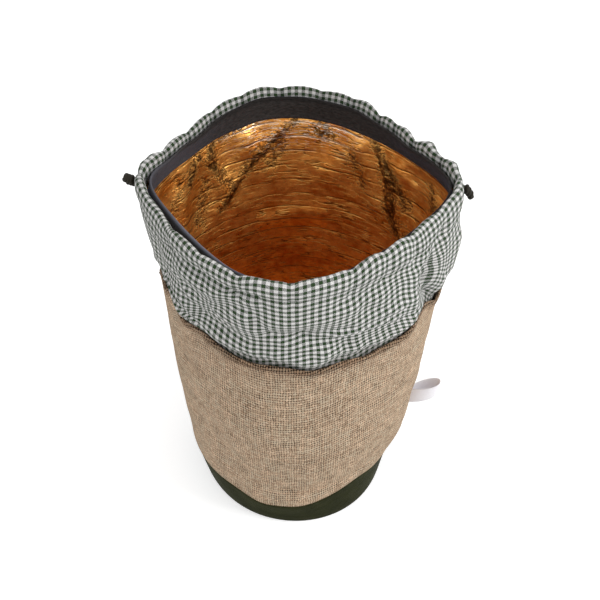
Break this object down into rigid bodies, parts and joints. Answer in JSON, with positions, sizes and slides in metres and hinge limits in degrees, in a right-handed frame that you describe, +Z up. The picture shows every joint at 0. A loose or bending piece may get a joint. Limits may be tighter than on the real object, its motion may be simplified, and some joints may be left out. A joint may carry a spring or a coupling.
{
  "type": "potato storage bag",
  "caption": "Round drawstring storage bag standing open: jute body, canvas base, gingham collar with casing, felt facing, foil lining.",
  "frame": {"origin": "centre of the round base, on the surface that the bag stands on", "axes": "+Z up out of the bag's mouth, -Y the front, where the rim is lowest, +X the right, where the tape loop is"},
  "size_m": [0.3211, 0.2691, 0.4155],
  "materials": {
    "canvas": "dark olive coated canvas, close plain weave, faint sheen",
    "jute": "natural jute hessian, open plain weave with slubs",
    "gingham": "green and white cotton gingham, 3 mm checks",
    "felt": "dark grey pressed felt",
    "foil": "gold metallised film on a fine backing, creased",
    "cord": "dark olive braided cotton cord",
    "tape": "white woven satin tape"
  },
  "bodies": {
    "root": {"base_disc": "canvas", "base_band": "canvas", "jute_body": "jute", "gingham_collar": "gingham", "felt_band": "felt", "lining_wall": "foil", "lining_floor": "foil", "drawcord": "cord", "cord_knot_right": "cord", "cord_knot_left": "cord", "loop_tape": "tape"}
  },
  "joints": []
}
